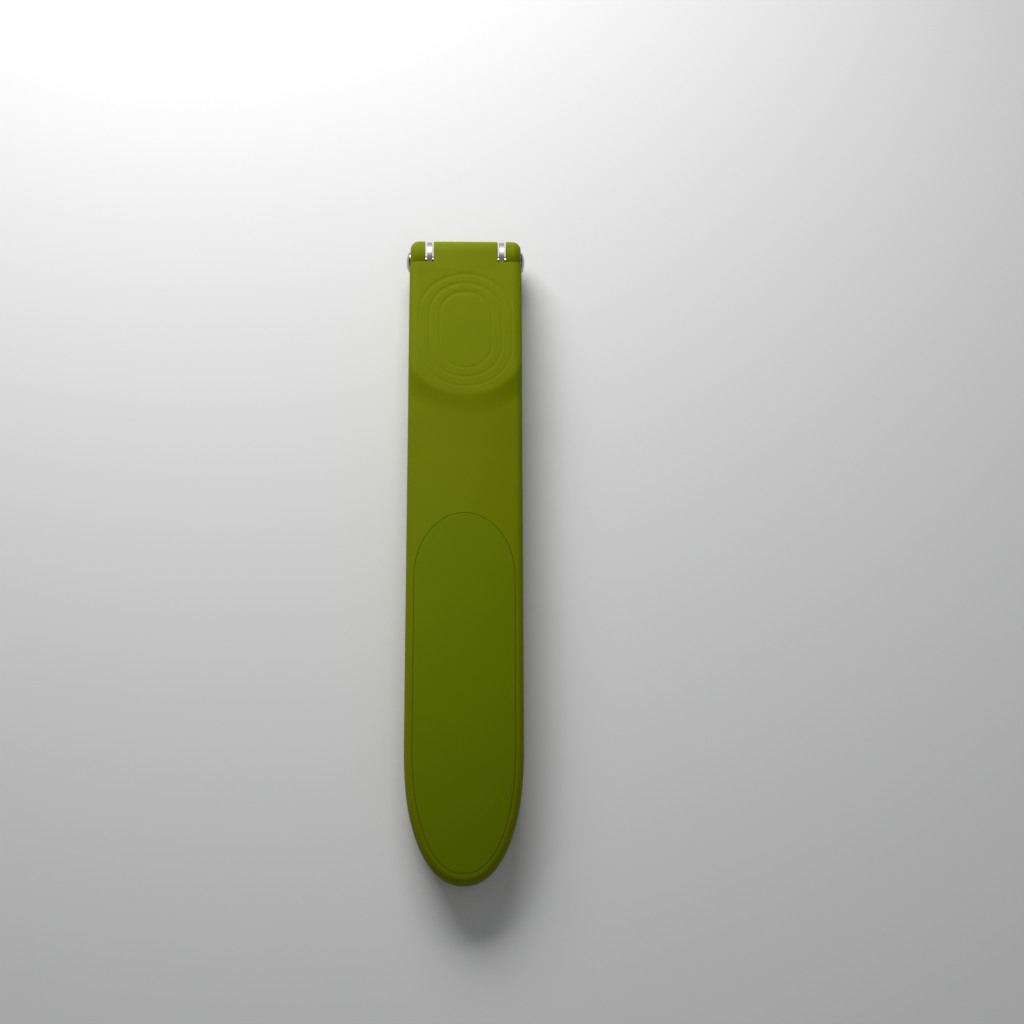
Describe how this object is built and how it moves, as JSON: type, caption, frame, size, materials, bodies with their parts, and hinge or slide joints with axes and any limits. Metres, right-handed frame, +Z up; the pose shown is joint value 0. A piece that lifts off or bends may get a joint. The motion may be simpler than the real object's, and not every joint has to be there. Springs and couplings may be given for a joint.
{
  "type": "garlic press",
  "caption": "Hand-held garlic press with two long nylon handles, a perforated steel basket that swings out, and a riveted hinge across its end.",
  "frame": {"origin": "middle of the footprint, on the surface that the closed press lies on", "axes": "+X across the press along its hinge pin, +Y along the press towards the hinge end, +Z up out of the upper handle's face"},
  "size_m": [0.0362, 0.206, 0.0175],
  "materials": {
    "green_nylon": "fine moulded satin",
    "grip_nylon": "fine moulded matte",
    "plunger_nylon": "moulded satin",
    "basket_steel": "stamped and brushed",
    "rivet_steel": "polished"
  },
  "bodies": {
    "lower": {"lower_handle": "green_nylon", "lower_grip": "grip_nylon", "hinge_pin": "rivet_steel", "left_rivet_head": "rivet_steel", "right_rivet_head": "rivet_steel"},
    "upper": {"upper_handle": "green_nylon", "upper_grip": "grip_nylon", "plunger": "plunger_nylon"},
    "basket": {"basket": "basket_steel"}
  },
  "joints": [
    {"name": "handle_hinge", "type": "hinge", "parent": "lower", "child": "upper", "pos_m": [0, 0.0965, 0.0075], "axis": [-1, 0, 0], "range_deg": [0, 125]},
    {"name": "basket_hinge", "type": "hinge", "parent": "lower", "child": "basket", "pos_m": [0, 0.0965, 0.0075], "axis": [-1, 0, 0], "range_deg": [0, 63]}
  ],
  "couplings": [
    {"joint": "basket_hinge", "follows": "handle_hinge", "ratio": 0.5}
  ]
}
